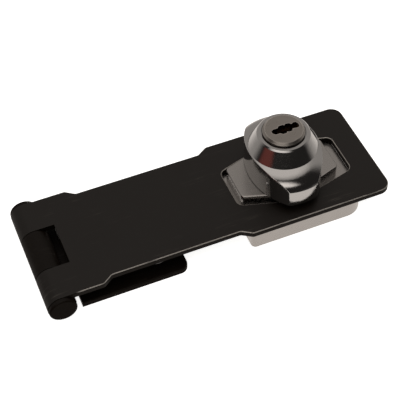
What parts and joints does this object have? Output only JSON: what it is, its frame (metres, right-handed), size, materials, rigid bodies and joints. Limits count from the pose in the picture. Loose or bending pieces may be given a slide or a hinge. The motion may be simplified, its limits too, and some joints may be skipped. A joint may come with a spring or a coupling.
{
  "type": "keyed hasp lock",
  "caption": "Hinged black steel hasp strap whose window drops over a chrome lock base and is held down by a keyed quarter-turn knob with wings.",
  "frame": {"origin": "middle of the bounding box, on the mounting plane under the base leaf and the lock base", "axes": "+X along the strap from the hinge to the tip, +Y across the strap, +Z out of the mounting plane towards the knob"},
  "size_m": [0.1202, 0.0442, 0.0302],
  "materials": {
    "black_enamel": "satin",
    "chrome_plate": "gloss",
    "satin_chrome": "satin",
    "satin_nickel": "satin",
    "brass": "satin",
    "spring_steel": "satin",
    "zinc_plate": "satin"
  },
  "bodies": {
    "lock_case": {"lock_base": "satin_chrome", "back_plate": "zinc_plate", "back_plate_screws": "zinc_plate", "stop_pin": "spring_steel", "spring_washer": "spring_steel"},
    "strap": {"hasp_strap": "black_enamel", "hinge_pin": "black_enamel"},
    "leaf": {"base_leaf": "black_enamel"},
    "knob": {"twist_knob": "chrome_plate", "knob_spindle": "zinc_plate", "retaining_ring": "spring_steel"},
    "plug": {"lock_plug": "satin_nickel", "plug_clip": "spring_steel", "plug_cam": "zinc_plate", "wafer_1": "brass", "wafer_2": "brass", "wafer_3": "brass", "wafer_4": "brass", "wafer_5": "brass", "wafer_springs": "spring_steel"},
    "bolt": {"locking_bolt": "zinc_plate"}
  },
  "joints": [
    {"name": "strap_lift", "type": "slide", "parent": "lock_case", "child": "strap", "axis": [0, 0, 1], "range_m": [0, 0.0022]},
    {"name": "leaf_hinge", "type": "hinge", "parent": "strap", "child": "leaf", "pos_m": [-0.05532, 0, 0.00475], "axis": [0, 1, 0], "range_deg": [0, 180]},
    {"name": "knob_turn", "type": "hinge", "parent": "lock_case", "child": "knob", "pos_m": [0.02908, 0, 0.012], "axis": [0, 0, 1], "range_deg": [0, 90]},
    {"name": "key_turn", "type": "hinge", "parent": "knob", "child": "plug", "pos_m": [0.02908, 0, 0.02], "axis": [0, 0, -1], "range_deg": [0, 90]},
    {"name": "bolt_throw", "type": "slide", "parent": "knob", "child": "bolt", "axis": [1, 0, 0], "range_m": [0, 0.00226]}
  ],
  "couplings": [
    {"joint": "bolt_throw", "follows": "key_turn", "m_per_rad": 0.0014388}
  ]
}
